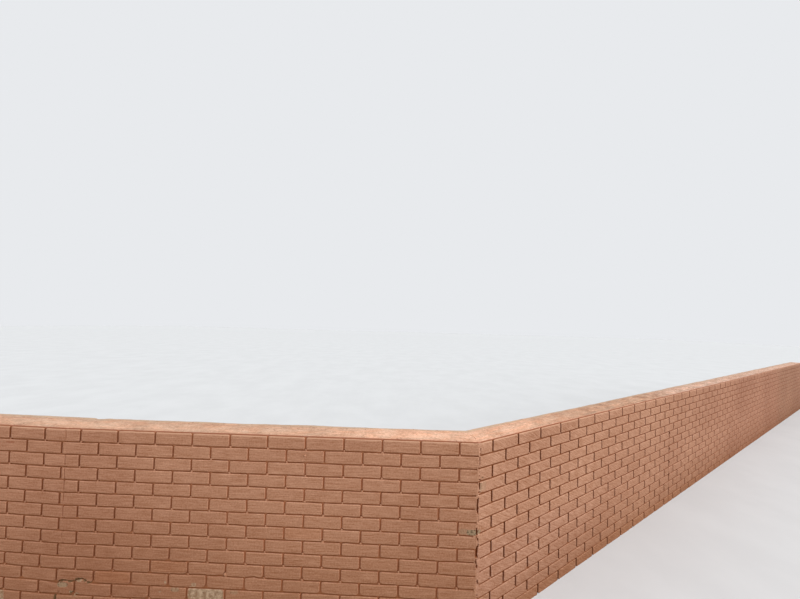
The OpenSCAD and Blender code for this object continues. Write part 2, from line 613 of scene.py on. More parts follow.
# Rows from which the left run's lower corners are more rounded, and by how much
WORN_FROM_ROW = 8
WORN_TO_ROW = 13
WORN_ROUNDING = 0.014


def corner_sizes(row, joint_low, joint_high, outer, seed):
    """Width and height of each corner's rounding, by (at high end, at top)."""
    spread = [(lattice(seed, k, 11) + 1) / 2 for k in range(4)]
    corners = {}
    for more, (corner, sizes) in zip(spread, USUAL_CORNERS.items()):
        corners[corner] = (sizes[0] + sizes[2] * more, sizes[1] + sizes[3] * more)
    if outer and joint_low < 0:
        wear = WORN_ROUNDING * float(share(row, WORN_FROM_ROW, WORN_TO_ROW))
        for at_high, more in ((False, spread[2]), (True, spread[3])):
            width, height = corners[(at_high, False)]
            width += wear * (0.7 + 0.8 * more)
            height += wear * (0.4 + 0.5 * more)
            corners[(at_high, False)] = (width, height)
    if outer:
        for at_row, joint, side, width, height in SLUMPED_CORNERS:
            if at_row == row and side == 1 and joint == joint_low:
                corners[(False, False)] = (width, height)
            if at_row == row and side == -1 and joint == joint_high:
                corners[(True, False)] = (width, height)
    return corners


# Head joints on the outer face: width by side, and how far each is off its regular place
HEAD_WIDTHS = {"left": 0.011, "right": 0.0125}
HEAD_SHIFT = 0.0010

# Mortar that bridges a bed joint under a head joint: how far right of it, and how far over the joint
BRIDGE_SHIFT = 0.0020
BRIDGE_REACH = 0.0025

# Half width of a bridge, depth behind the brick faces, and share of the head joints that have one
BRIDGES = {"left": (0.0068, 0.0012, 0.92), "right": (0.0055, 0.0026, 0.60)}
BRIDGE_GRID = (7, 6)
BRIDGE_FOOT = RELIEF + 0.0005

# How close to the end of a bay a bridge may be
BRIDGE_ROOM = 0.03


def head_joint(row, joint):
    """Where a head joint is along the wall, a little off its regular place."""
    return joint * HALF_BRICK + HEAD_SHIFT * lattice(row, joint, 17)


def add_bridges(pile, bay):
    """Low humps of mortar across the bed joints, each under the foot of a head joint."""
    half_width, middle_depth, share_bridged = BRIDGES[bay.side]
    sides = [np.linspace(-1.0, 1.0, count) for count in BRIDGE_GRID]
    over, up = (grid.ravel() for grid in np.meshgrid(*sides, indexing="ij"))
    bulge = np.sqrt((1 - over ** 2) * (1 - up ** 4))
    depth = BRIDGE_FOOT - (BRIDGE_FOOT - middle_depth) * bulge
    for row in range(1, COURSES):
        if row == CRACKED_JOINT_ROW:
            continue
        first = math.ceil(bay.start / HALF_BRICK)
        first += (first - row) % 2
        for joint in range(first, math.floor(bay.end / HALF_BRICK) + 1, 2):
            middle = head_joint(row, joint) + BRIDGE_SHIFT
            skipped = (1 + lattice(row, joint, 91)) / 2 > share_bridged
            if skipped or min(middle - bay.start, bay.end - middle) < BRIDGE_ROOM:
                continue
            size = 1 + 0.22 * lattice(row, joint, 92)
            height = height_at(row) + float(bed_bend(row, True)(np.array([middle]))[0])
            s = middle + over * half_width * size
            wall = np.stack([s, depth, height + up * (JOINT_W / 2 + BRIDGE_REACH)], axis=1)
            faces = brick_faces(*BRIDGE_GRID, 0, False)
            pile.add(bay.place(wall), wall, faces, depth - middle_depth * bulge)


def add_lumps(pile, bay):
    """Small ragged domes on the outer face of a bay."""
    *faces, top = tube(len(LUMP_RINGS), LUMP_SIDES, turned=True)
    faces += [[here, after, top[-1] + 1] for here, after in zip(top, top[1:] + top[:1])]
    for number, (place, row, radius, height) in enumerate(LUMPS):
        s, z = place * HALF_BRICK, height_at(row)
        if not bay.start < s < bay.end:
            continue
        points = []
        for reach, rise in LUMP_RINGS:
            for k in range(LUMP_SIDES):
                angle = 2 * math.pi * k / LUMP_SIDES
                out = radius * reach * (1 + 0.25 * lattice(number, k, 61))
                points.append((s + out * math.cos(angle), -height * rise, z + out * math.sin(angle)))
        wall = np.array(points + [(s, -height, z)])
        pile.add(bay.place(wall), wall, faces, 0.0, LUMP_TINT)


def lay_bricks(bay, outer, detail, material):
    """All bricks on one face of one bay, as one piece."""
    pile = Pile()
    bay_low, bay_high = bay.limits(0.0 if outer else WALL_T)
    at_corner = outer and bay is BAYS[CORNER_STATION]
    half_joint = (HEAD_WIDTHS[bay.side] if outer else JOINT_W) / 2
    for row in range(1, COURSES + 1):
        bottom, top = row_heights(row)
        low = bay.start + CORNER_STARTS[row] if at_corner else bay_low
        high = bay_high
        if outer and bay is BAYS[CORNER_STATION - 1]:
            high = bay.end - CORNER_ENDS.get(row, CORNER_END)
        first = math.floor(bay_low / HALF_BRICK) - 2
        first += (first - row) % 2
        for joint in range(first, math.ceil(high / HALF_BRICK) + 1, 2):
            start = max(low, head_joint(row, joint) + half_joint)
            end = min(high, head_joint(row, joint + 2) - half_joint)
            if end - start < LEAST_PIECE:
                continue
            seed = row * 977 + joint * 13 + (0 if outer else 40009)
            corners = corner_sizes(row, joint, joint + 2, outer, seed)
            if at_corner and start == low:
                corners[(False, False)] = CORNER_ROUNDINGS.get(row, corners[(False, False)])
            arris = TOP_COURSE_ARRIS if row == 1 else TOP_ARRIS
            shape = BrickShape(start, end, bottom, top, corners, seed, arris)
            outline, recess, rim, counts = shape_brick(
                shape, detail, bed_bend(row, outer), bed_bend(row - 1, outer)
            )
            if bay.seams[0] == 0.0:
                outline[:, 0] = np.maximum(outline[:, 0], bay.start)
            if bay.seams[1] == 0.0:
                outline[:, 0] = np.minimum(outline[:, 0], bay.end)
            depth = recess if outer else WALL_T - recess
            wall = np.stack([outline[:, 0], depth, outline[:, 1]], axis=1)
            faces = brick_faces(*counts, len(detail.rings), not outer)
            pile.add(bay.place(wall), wall, faces, recess, lattice(seed, 7, 2), rim)
    if outer:
        add_bridges(pile, bay)
        add_lumps(pile, bay)
    kind = "outer" if outer else "inner"
    pile.finish(bay.named(f"{kind}_bricks"), material, "brick_face", bay.named(f"{kind}_face"))


# How far the end bricks stay inside the outer and the inner brick faces
END_TUCK = 0.002


def lay_end_bricks(bay, at_end, material):
    """Bricks across a free end of the wall: one across, then two halves, by turns."""
    pile = Pile()
    station = bay.end if at_end else bay.start
    inward = -1.0 if at_end else 1.0
    low, middle, high = END_TUCK, WALL_T / 2, WALL_T - END_TUCK
    halves = [(low, middle - JOINT_W / 2), (middle + JOINT_W / 2, high)]
    level = bed_bend(0, False)
    for row in range(1, COURSES + 1):
        for number, span in enumerate(halves if row % 2 == 0 else [(low, high)]):
            seed = row * 31 + number + (7000 if at_end else 9000)
            corners = corner_sizes(row, 0, 0, False, seed)
            shape = BrickShape(*span, *row_heights(row), corners, seed)
            outline, recess, rim, counts = shape_brick(shape, BACK, level, level)
            wall = np.stack([station + inward * recess, *outline.T], axis=1)
            faces = brick_faces(*counts, len(BACK.rings), not at_end)
            pile.add(bay.place(wall), wall, faces, recess, lattice(seed, 7, 2), rim)
    pile.finish(f"{bay.side}_end_bricks", material, "brick_face", f"{bay.side}_end_face")


# Capping
CAP_STEP = 0.014
CAP_ROUND = 0.002
CAP_ARC = [math.radians(degrees) for degrees in (0, 30, 60, 90)]

# Waves along the back edge and the front edge: depth, length and seed
BACK_WAVES = [(0.0035, 0.33, 27), (0.0022, 0.11, 21), (0.0014, 0.031, 22)]
FRONT_WAVE = (0.0008, 0.06, 23)

# Waves over the top: height, how much finer across, length and seed
TOP_WAVES = [(0.0007, 1, 0.35, 24), (0.0004, 2, 0.07, 25), (0.0002, 1, 0.024, 26)]

# How far the whole top lies below its full height, and how much further at the stations
TOP_DROP = 0.0006
STATION_DIP = 0.0014

# Piece broken out of the back edge: place, half width and depth in metres
CAP_NOTCH = (-2.19, 0.052, 0.012)


def cap_section():
    """Section of the capping as depth and height above the core, from the front foot round."""
    front, back = RELIEF, RELIEF + CORE_T
    edge = [(0.0, 0.0), (0.0, 0.0035)]
    edge += [(CAP_ROUND * (1 - math.cos(a)), CAP_H - CAP_ROUND * (1 - math.sin(a))) for a in CAP_ARC]
    points = [(front + inward, height) for inward, height in edge]
    points += [(depth, CAP_H) for depth in np.linspace(front + 0.008, back - 0.008, 12)]
    points += [(back - inward, height) for inward, height in reversed(edge)]
    return np.array(points)


def lay_capping(bay, material):
    """The trowelled top of one bay, mitred at both ends."""
    section = cap_section()
    steps = round((bay.end - bay.start) / CAP_STEP)
    trims = [RELIEF if seam == 0.0 else 0.0 for seam in bay.seams]
    notch_place, notch_half, notch_depth = CAP_NOTCH
    pile = Pile()
    for t in np.linspace(0.0, 1.0, steps + 1):
        depth, height = section.T.copy()
        start, end = bay.limits(depth, trimmed=False)
        start, end = start + trims[0], end - trims[1]
        s = start + (end - start) * t
        lift = height / CAP_H
        top = share(lift, 0.5, 1.0)
        back = share(depth, WALL_T / 2, WALL_T - RELIEF) * lift
        front = share(-depth, -0.05, -RELIEF) * lift
        depth += back * sum(deep * ripple(s, *wave) for deep, *wave in BACK_WAVES)
        depth -= back * notch_depth * (1 - share(np.abs(s - notch_place), 0.2 * notch_half, notch_half))
        depth += front * FRONT_WAVE[0] * ripple(s, *FRONT_WAVE[1:])
        waves = sum(high * noise(s, depth * finer, *wave) for high, finer, *wave in TOP_WAVES)
        from_station = np.minimum(np.abs(s - bay.start), np.abs(s - bay.end))
        height += top * (waves - TOP_DROP - STATION_DIP * (1 - share(from_station, 0.004, 0.030)))
        wall = np.stack([s, depth, CORE_TOP + height], axis=1)
        pile.add(bay.place(wall), wall, [], (1 - lift) * RELIEF)
    pile.faces = tube(steps + 1, len(section))
    pile.finish(bay.named("capping"), material, "capping", bay.named("cap"))


# Seams between the bays
JOINT_DEPTH = RELIEF + 0.0003
# Tint that gives a slot its painted shade
SLOT_TINT = -2.0

# Distances in metres over which a seam sinks into a bed joint
INTO_JOINT = (-0.0002, 0.0024)

# Depths of a plain seam: on the bricks, at its two edges, and in line with a head joint
PLAIN_DEPTH = 0.0004
PLAIN_EDGE_DEPTH = 0.0016
HEAD_JOINT_DEPTH = 0.0072


class Slot:
    """An opening in a filling, with painted shade in it, along a path of rows down and metres across."""

    def __init__(self, half_width, depth, *path):
        self.half_width = half_width
        self.depth = depth
        self.rows = [row for row, _ in path]
        self.offsets = [offset for _, offset in path]

    def depth_at(self, w, z):
        row = row_at(z)
        centre = np.interp(row, self.rows, self.offsets) + 0.0007 * ripple(z, 0.013, 53)
        along = hump(row, self.rows[0], self.rows[-1], (0.05, 0.06), (0.06, 0.05))
        half_width = self.half_width * (1.15 + 0.4 * ripple(z, 0.010, 54)) * np.sqrt(along)
        return self.depth * along * share(half_width - np.abs(w - centre), -0.0006, 0.0006)


def open_slots(slots, w, z, depth, tint):
    """A surface's depth and tint with its slots cut in."""
    for slot in slots:
        inside = slot.depth_at(w, z)
        depth = np.maximum(depth, inside)
        tint = np.where(inside > 0.3 * slot.depth, SLOT_TINT, tint)
    return depth, tint


def seam_heights(step):
    """Heights of the rings of a filling, closer together at the bed joints."""
    heights = [0.0]
    for course in range(COURSES):
        bottom = course * COURSE_PITCH
        top = bottom + COURSE_PITCH - JOINT_W
        heights += list(np.arange(bottom + 0.0045, top - 0.003, step))
        heights += [top - 0.0018, top - 0.0005]
        if course < COURSES - 1:
            heights += [top + rise for rise in (0.001, 0.003, 0.005, 0.007, 0.009)]
            heights += [top + JOINT_W + rise for rise in (0.0005, 0.0018)]
    heights.append(CORE_TOP)
    return np.array(sorted(heights))


def into_bed_joint(s, z, outer):
    """How far inside a bed joint a place is, in metres, and below zero on a course."""
    joint_rows = np.clip(np.round(row_at(z)), 0, COURSES)
    wander = np.zeros(len(z))
    for joint_row in np.unique(joint_rows):
        here = joint_rows == joint_row
        wander[here] = bed_bend(int(joint_row), outer)(s[here])
    place = np.mod(z - wander, COURSE_PITCH)
    course_h = COURSE_PITCH - JOINT_W
    return np.minimum(place - course_h, COURSE_PITCH - place)


def plain_surface(station, slots, follows_joint):
    """Surface of a tight seam that is sunk where it crosses no brick."""
    at = BAYS[station].start

    def surface(w, z, outer):
        depth = PLAIN_DEPTH + 0.0005 * noise(w * 3, z, 0.012, 41 + station)
        if follows_joint:
            even_row = np.floor(row_at(z)) % 2 == 1
            depth = np.where(even_row, HEAD_JOINT_DEPTH, depth)
        depth, tint = open_slots(slots if outer else [], w, z, depth, 0.0 * w)
        at_edge = np.abs(w) > 0.9 * np.max(np.abs(w))
        depth = np.where(at_edge, np.maximum(depth, PLAIN_EDGE_DEPTH), depth)
        in_joint = share(into_bed_joint(at + w, z, outer), *INTO_JOINT)
        return np.maximum(depth, in_joint * JOINT_DEPTH), tint

    return surface


# Open joint at the corner, as seen from the street
CORNER_SLOTS = [
    Slot(0.0022, 0.005, (0.45, 0.0135), (0.93, 0.0135)),
    Slot(0.0018, 0.007, (1.12, 0.0084), (1.80, 0.0084)),
    Slot(0.0026, 0.0075, (1.14, 0.008), (1.24, 0.009)),
    Slot(0.0022, 0.0075, (1.45, 0.008), (1.53, 0.0085)),
    Slot(0.0028, 0.0075, (1.66, 0.008), (1.77, 0.010)),
    Slot(0.0018, 0.008, (1.84, -0.001), (1.93, 0.004), (1.97, 0.012)),
    Slot(0.0009, 0.003, (2.14, 0.008), (2.40, 0.008)),
    Slot(0.0040, 0.0075, (2.54, 0.0065), (2.60, 0.0065)),
    Slot(0.0050, 0.0075, (2.83, 0.010), (2.93, 0.010)),
    Slot(0.0042, 0.0075, (3.10, 0.008), (3.30, 0.009), (3.67, 0.0145)),
    Slot(0.0054, 0.0075, (3.78, 0.007), (3.88, 0.007)),
    Slot(0.0040, 0.011, (4.28, 0.004), (4.45, 0.004), (4.62, 0.0), (4.85, -0.003), (5.05, 0.001),
         (5.20, 0.002), (5.45, 0.001)),
    Slot(0.0056, 0.011, (4.30, 0.004), (4.48, 0.003)),
    Slot(0.0054, 0.012, (5.08, 0.001), (5.42, 0.002)),
    Slot(0.0010, 0.003, (5.50, 0.006), (6.30, 0.006)),
    Slot(0.0030, 0.009, (6.55, -0.003), (6.75, -0.002), (7.12, 0.001)),
    Slot(0.0023, 0.006, (7.20, -0.002), (7.45, 0.005), (7.62, 0.010), (7.80, 0.008), (7.90, 0.006)),
    Slot(0.0070, 0.011, (7.92, 0.004), (8.10, 0.003), (8.40, -0.004), (8.75, -0.001), (8.84, 0.0)),
    Slot(0.0020, 0.008, (8.90, -0.003), (9.05, -0.004), (9.35, 0.0)),
    Slot(0.0046, 0.009, (9.38, 0.001), (9.64, 0.004)),
    Slot(0.0048, 0.0075, (10.55, 0.007), (10.75, 0.011), (10.92, 0.017)),
    Slot(0.0040, 0.0075, (11.65, 0.008), (11.78, 0.008)),
    Slot(0.0050, 0.0075, (11.87, 0.009), (11.98, 0.009)),
    Slot(0.0018, 0.010, (12.40, 0.006), (12.90, 0.004)),
    Slot(0.0016, 0.009, (13.30, 0.003), (14.10, 0.004)),
]

# Raised pale beads beside the slots: row from, row to, metres across, half width, strength
CORNER_BEADS = [
    (0.06, 0.24, 0.001, 0.0040, 0.6),
    (0.52, 0.64, 0.0065, 0.0035, 1.0),
    (0.70, 0.83, 0.007, 0.0035, 1.0),
    (1.06, 1.30, -0.0016, 0.0035, 1.0),
    (1.30, 1.90, -0.002, 0.0018, 0.5),
    (2.30, 2.50, 0.002, 0.0045, 0.8),
    (2.66, 2.80, 0.010, 0.0060, 0.6),
    (3.10, 3.75, -0.003, 0.0020, 0.6),
    (3.12, 3.70, 0.0185, 0.0025, 0.5),
    (4.10, 4.28, -0.006, 0.0038, 1.2),
    (5.45, 6.30, -0.003, 0.0018, 0.3),
    (6.98, 7.14, 0.011, 0.0040, 0.8),
    (9.15, 9.35, 0.008, 0.0030, 0.8),
    (9.35, 9.60, 0.013, 0.0030, 0.6),
    (10.36, 10.80, -0.002, 0.0030, 0.8),
    (10.85, 11.10, 0.006, 0.0060, 0.7),
    (11.00, 11.20, 0.016, 0.0060, 0.6),
    (11.40, 11.56, -0.004, 0.0040, 0.9),
    (12.10, 12.90, -0.002, 0.0020, 0.5),
]

# How far the filling closes each bed joint, in metres from the corner, from the top down
LEFT_PLUGS = np.array(
    [0, 0, 0.005, 0, 0.0095, 0.013, 0.004, 0.020, 0.0075, 0.012, 0.002, 0.010, 0.015, 0.012, 0.015, 0]
)
RIGHT_PLUGS = np.array(
    [0, 0.010, 0, 0, 0.006, 0.014, 0.016, 0.019, 0.022, 0.024, 0.022, 0.024, 0.010, 0.012, 0.012, 0]
)
CORNER_COLUMNS = np.array(
    [-0.026, -0.022, -0.018, -0.015, -0.013]
    + [0.001 * step for step in range(-12, 25)]
    + [0.0255, 0.0275, 0.030]
)

# The filling's depth behind the brick faces, and how far it rises where it laps over them
FILLING_DEPTH = 0.0005
LAP_RISE = 0.00075

# The garden side's laps: where the left bricks and the filling on them end, then the right run's
INNER_LAPS = (0.0040, 0.0052, 0.0055, 0.0055)


def corner_laps(row, z, outer):
    """Where the left bricks and the filling on them end, then the same for the right run."""
    if not outer:
        return [place + 0 * z for place in INNER_LAPS]
    course = np.clip(np.floor(row).astype(int) + 1, 1, COURSES)
    starts = np.array([CORNER_STARTS[number] for number in course])
    ends = np.array([CORNER_ENDS.get(number, CORNER_END) for number in course])
    left_end = np.maximum(0.0085 + 0.0030 * ripple(z, 0.012, 48), ends + 0.0025)
    lap = 0.0030 + 0.0015 * ripple(z, 0.010, 50)
    beside = np.max([slot.depth_at(starts - 0.001, z) for slot in CORNER_SLOTS], axis=0)
    return ends, left_end, starts, starts + np.where(beside > 0.001, 0.0, lap)


def add_beads(w, z, depth, tint):
    """The filling's depth and tint with its raised beads."""
    for first, last, middle, half_width, strength in CORNER_BEADS:
        bead = 1 - share(np.abs(w - middle), 0.4 * half_width, half_width)
        bead = bead * hump(row_at(z), first, last, (0.03, 0.05), (0.05, 0.03))
        bead = bead * (0.6 + 0.6 * ripple(z, 0.011, 49))
        depth = depth - 0.0008 * strength * bead
        tint = np.maximum(tint, strength * bead)
    return depth, tint


def corner_surface(w, z, outer):
    """Ragged mortar round the corner, nearly flush, with slots, beads and closed joints."""
    row = row_at(z)
    into = into_bed_joint(BAYS[CORNER_STATION].start + w, z, outer)
    in_joint = share(into, *INTO_JOINT)
    ends, left_end, starts, right_end = corner_laps(row, z, outer)
    on_left = share(-w, ends - 0.0006, ends + 0.0014)
    on_bricks = np.maximum(share(w, starts - 0.0010, starts + 0.0008), on_left)
    depth = FILLING_DEPTH - LAP_RISE * on_bricks
    depth = depth + 0.0004 * noise(w * 2, z, 0.009, 43) + 0.0003 * noise(w * 3, z, 0.021, 44)
    tint = 0.6 * noise(w * 2, z, 0.008, 45) - 0.25
    if outer:
        depth, tint = open_slots(CORNER_SLOTS, w, z, *add_beads(w, z, depth, tint))
    joint_row = np.clip(np.round(row), 0, COURSES).astype(int)
    left_plug = LEFT_PLUGS[joint_row] + 0.001 * ripple(z, 0.006, 46)
    right_plug = RIGHT_PLUGS[joint_row] + 0.001 * ripple(z, 0.006, 47)
    open_joint = np.maximum(
        share(-w, left_plug - 0.001, left_plug + 0.0015), share(w, right_plug - 0.001, right_plug + 0.0015)
    )
    under = np.maximum(share(w, right_end, right_end + 0.0012), share(-w, left_end, left_end + 0.0012))
    depth = np.maximum(depth, 0.0022 * under * (1 - share(into, -0.0012, 0.0004)))
    depth = np.maximum(depth, JOINT_DEPTH * under * (1 - share(into, -0.0040, -0.0025)))
    depth = depth + 0.0008 * in_joint * (1 - open_joint)
    return np.maximum(depth, JOINT_DEPTH * in_joint * open_joint), tint


# Columns of the plain seams, as shares of how far each seam reaches to both sides
SEAM_SHAPE = np.array([-1.0, -0.8, -0.6, -0.42, -0.28, -0.14, 0.0, 0.14, 0.28, 0.42, 0.6, 0.8, 1.0])
LEFT_SEAM_REACH = 0.0046
RIGHT_SEAM_REACH = 0.0066

# Distance between the rings of a filling on the courses
SEAM_ROW_STEP = 0.0055
CORNER_ROW_STEP = 0.0022

# Openings in the plain seams. The right run's first seam has a round hole at each of these rows
HOLE_ROWS = (5.25, 7.45, 9.30, 11.0, 13.0)
LEFT_SLOTS = [
    Slot(0.0014, 0.0026, (0.15, 0.0), (0.50, 0.0006), (0.85, 0.0)),
    Slot(0.0024, 0.0034, (2.06, -0.0010), (2.45, 0.0006), (2.90, -0.0004)),
    Slot(0.0016, 0.0028, (3.12, 0.0008), (3.50, 0.0), (3.80, 0.0004)),
    Slot(0.0040, 0.0045, (3.84, 0.0010), (4.04, 0.0010)),
    Slot(0.0024, 0.0034, (4.06, 0.0), (4.40, -0.0008), (4.86, 0.0004)),
    Slot(0.0013, 0.0026, (5.15, 0.0), (5.70, 0.0)),
    Slot(0.0024, 0.0034, (6.08, 0.0006), (6.50, -0.0006), (6.90, 0.0)),
    Slot(0.0012, 0.0026, (8.15, 0.0), (8.60, 0.0)),
]
RIGHT_SLOTS = [Slot(0.0018, 0.006, (4.9, 0.0), (15.0, 0.0))]
RIGHT_SLOTS += [Slot(0.0060, 0.013, (row - 0.13, 0.0), (row + 0.13, 0.0)) for row in HOLE_ROWS]
FAR_SLOTS = [Slot(0.0060, 0.014, (0.5, 0.0), (10.2, 0.0))]


def fill_seam(station, columns, row_step, surface, material):
    """A filling as a stack of closed rings, each with its outer side first and then its inner side.

    The columns are distances across, from the station. The surface gives the depth behind the
    brick faces and a tint, for distances across, heights, and whether this is the outer side.
    """
    before, after = BAYS[station - 1], BAYS[station]
    on_left = columns < 0
    heights = seam_heights(row_step)
    pile = Pile()
    for height in heights:
        z = np.full(len(columns), height)
        for outer, step in ((True, 1), (False, -1)):
            recess, tint = surface(columns, z, outer)
            depth = recess if outer else WALL_T - recess
            left_end = before.limits(depth, trimmed=False)[1]
            right_start = after.limits(depth, trimmed=False)[0]
            s = np.where(on_left, left_end, right_start) + columns
            wall = np.stack([s, depth, z], axis=1)
            placed = np.where(on_left[:, None], before.place(wall), after.place(wall))
            pile.add(placed[::step], wall[::step], [], recess[::step], tint[::step])
    pile.faces = tube(len(heights), 2 * len(columns), turned=True)
    name = SEAM_NAMES[station]
    pile.finish(name.replace("seam", "joint_filling"), material, "seam", name)


# Materials
def linear(colour):
    """A colour from 0 to 255 as it shows, as the linear colour that a shader takes."""
    parts = [c / 255 for c in colour]
    return tuple(c / 12.92 if c <= 0.04045 else ((c + 0.055) / 1.055) ** 2.4 for c in parts) + (1.0,)


class Nodes:
    """Short calls that build the nodes of a material or of the world."""

    def __init__(self, owner):
        owner.use_nodes = True
        self.tree = owner.node_tree

    def feed(self, socket, value):
        if isinstance(value, bpy.types.NodeSocket):
            self.tree.links.new(value, socket)
        else:
            socket.default_value = value

    def node(self, kind, sockets=(), **settings):
        """The outputs of a new node, whose inputs are fed by name or number."""
        made = self.tree.nodes.new(kind)
        for key, value in settings.items():
            setattr(made, key, value)
        for key, value in dict(sockets).items():
            self.feed(made.inputs[key], value)
        return made.outputs

    def math(self, operation, *values):
        return self.node("ShaderNodeMath", enumerate(values), operation=operation)[0]

    def vector(self, operation, *values):
        return self.node("ShaderNodeVectorMath", enumerate(values), operation=operation)[0]

    def times(self, *values):
        return functools.reduce(functools.partial(self.math, "MULTIPLY"), values)

    def plus(self, *values):
        return functools.reduce(functools.partial(self.math, "ADD"), values)

    def most(self, *values):
        return functools.reduce(functools.partial(self.math, "MAXIMUM"), values)

    def off(self, value, middle):
        """How far a value is from a middle."""
        return self.math("ABSOLUTE", self.math("SUBTRACT", value, middle))

    def swung(self, value, *swings):
        """A value plus a share of how far each texture is from its middle."""
        for texture, amount in swings:
            value = self.plus(value, self.times(self.math("SUBTRACT", texture, 0.5), amount))
        return value

    def split(self, vector):
        return self.node("ShaderNodeSeparateXYZ", {0: vector})

    def map(self, value, low, high, to_low=0.0, to_high=1.0, curve="SMOOTHSTEP"):
        sockets = enumerate((value, low, high, to_low, to_high))
        return self.node("ShaderNodeMapRange", sockets, interpolation_type=curve)[0]

    def mix(self, factor, a, b, blend="MIX"):
        sockets = {0: factor, 6: a, 7: b}
        return self.node("ShaderNodeMix", sockets, data_type="RGBA", blend_type=blend)[2]

    def rays(self, *kinds):
        """1 for rays of these kinds, and 0 for all others."""
        outputs = self.node("ShaderNodeLightPath")
        return self.most(*(outputs[f"Is {kind} Ray"] for kind in kinds))


class Shader(Nodes):
    """A new material, with the textures, colours, marks and bumps that it is made of."""

    def __init__(self, name):
        self.material = bpy.data.materials.new(name)
        super().__init__(self.material)
        self.surface = self.tree.nodes["Principled BSDF"]

    def attribute(self, name, output="Fac"):
        return self.node("ShaderNodeAttribute", attribute_name=name)[output]

    def place(self):
        """The object's own coordinates, which are the frame's."""
        return self.node("ShaderNodeTexCoord")["Object"]

    def follow(self, wall):
        """Keeps the wall coordinates that the marks follow, and the texture of their edges."""
        self.wall = wall
        self.s, self.depth, self.z = self.split(wall)
        self.ragged = self.noise(wall, 85.0, 4.0, 0.65)

    def noise(self, vector, scale, detail, rough, distortion=0.0):
        """Noise at one scale, or at one scale each along, into and up the wall."""
        if isinstance(scale, tuple):
            vector, scale = self.vector("MULTIPLY", vector, scale), 1.0
        sockets = {"Vector": vector, "Scale": scale, "Detail": detail, "Roughness": rough}
        return self.node("ShaderNodeTexNoise", {**sockets, "Distortion": distortion})["Fac"]

    def over(self, colour, *layers):
        """The colour under other colours as they show, each with its mask."""
        for mask, shown in layers:
            colour = self.mix(mask, colour, linear(shown))
        return colour

    def shaded(self, colour, *layers):
        """The colour times shares of red, green and blue, each with its mask."""
        for mask, shares in layers:
            colour = self.mix(mask, colour, shares + (1.0,), "MULTIPLY")
        return colour

    def brightness(self, colour, factor):
        """The colour times a factor."""
        colour = colour[:3] if isinstance(colour, tuple) else colour
        return self.node("ShaderNodeVectorMath", {0: colour, "Scale": factor}, operation="SCALE")[0]

    def grained(self, colour, value, hue):
        """The colour made lighter or darker by a value, more so in some of its parts."""
        factor = self.vector("MULTIPLY_ADD", value, hue, (1.0, 1.0, 1.0))
        return self.vector("MULTIPLY", colour, factor)

    def marks(self, patches, spread=1.6):
        """Mask of some marks on the outer face, with ragged edges."""
        masks = []
        for place, row, half_width, half_height, square, strength in patches:
            far = self.times(self.ragged, spread)
            sides = ((self.s, place * HALF_BRICK, half_width), (self.z, height_at(row), half_height))
            for value, middle, half in sides:
                off = self.math("DIVIDE", self.off(value, middle), half)
                far = self.plus(self.math("POWER", off, square), far)
            masks.append(self.map(far, 1.15 + spread / 2, 0.65 + spread / 2, 0.0, strength))
        return self.times(self.most(*masks), self.map(self.depth, 0.06, 0.04))

    def bumps(self, *layers):
        """Bumps on one another: height, distance and strength."""
        below = {}
        for height, distance, strength in layers:
            sockets = {"Strength": strength, "Distance": distance, "Height": height}
            below = {"Normal": self.node("ShaderNodeBump", {**sockets, **below})[0]}
        return below["Normal"]

    def finish(self, colour, roughness, normal):
        self.feed(self.surface.inputs["Base Color"], colour)
        self.feed(self.surface.inputs["Roughness"], roughness)
        self.feed(self.surface.inputs["Normal"], normal)
        self.surface.inputs["Specular IOR Level"].default_value = SPECULAR
        return self.material


# Marks on the outer face: half bricks, rows down, half width and half height in metres,
# how square the mark is, and how strong
DULL_PATCHES = [
    (-0.28, 6.89, 0.0265, 0.0145, 4.0, 1.0),
    (0.10, 6.88, 0.0150, 0.0120, 2.0, 0.8),
    (-0.68, 6.84, 0.0300, 0.0140, 2.5, 0.45),
    (-21.63, 12.26, 0.030, 0.014, 2.5, 0.8),
    (-20.95, 12.95, 0.026, 0.012, 2.5, 0.6),
    (-21.15, 12.76, 0.010, 0.007, 2.0, 1.0),
    (-15.62, 12.25, 0.024, 0.012, 2.5, 0.6),
    (-12.50, 12.25, 0.022, 0.012, 2.5, 0.4),
]
PALE_PATCHES = [
    (-14.0, 12.5, 0.095, 0.027, 8.0, 1.0),
    (-14.63, 11.80, 0.014, 0.012, 2.0, 0.8),
    (-14.80, 12.03, 0.010, 0.008, 2.0, 0.7),
    (-16.40, 12.45, 0.008, 0.004, 2.0, 0.7),
    (-16.15, 11.71, 0.006, 0.007, 2.0, 0.8),
    (0.19, 3.46, 0.010, 0.022, 3.0, 0.6),
    (0.38, 3.45, 0.020, 0.024, 3.0, 0.35),
    (-20.74, 11.86, 0.017, 0.008, 2.0, 0.8),
    (-25.15, 13.45, 0.022, 0.034, 3.0, 0.8),
]
CRACKS = [
    (-21.10, 12.86, 0.010, 0.0070, 2.0, 0.9),
    (-21.25, 13.02, 0.012, 0.0050, 2.0, 0.7),
    (-22.06, 13.40, 0.0032, 0.0240, 2.0, 0.9),
    (-25.30, 12.95, 0.018, 0.0050, 2.0, 0.9),
    (0.285, 2.76, 0.0080, 0.0038, 2.0, 0.7),
]
STAINS = [
    (19.77, 10.92, 0.008, 0.007, 2.0, 0.8),
    (17.84, 11.01, 0.008, 0.007, 2.0, 0.8),
    (38.0, 11.40, 0.016, 0.010, 2.0, 0.8),
    (38.4, 13.40, 0.016, 0.010, 2.0, 0.8),
    (-24.95, 1.30, 0.028, 0.005, 2.0, 0.6),
    # The last two are dark strips down the seams at the far stations: painted shade of those seams
    (48.0, 1.20, 0.010, 0.075, 2.0, 0.5),
    (72.0, 5.00, 0.016, 0.300, 2.0, 0.6),
]
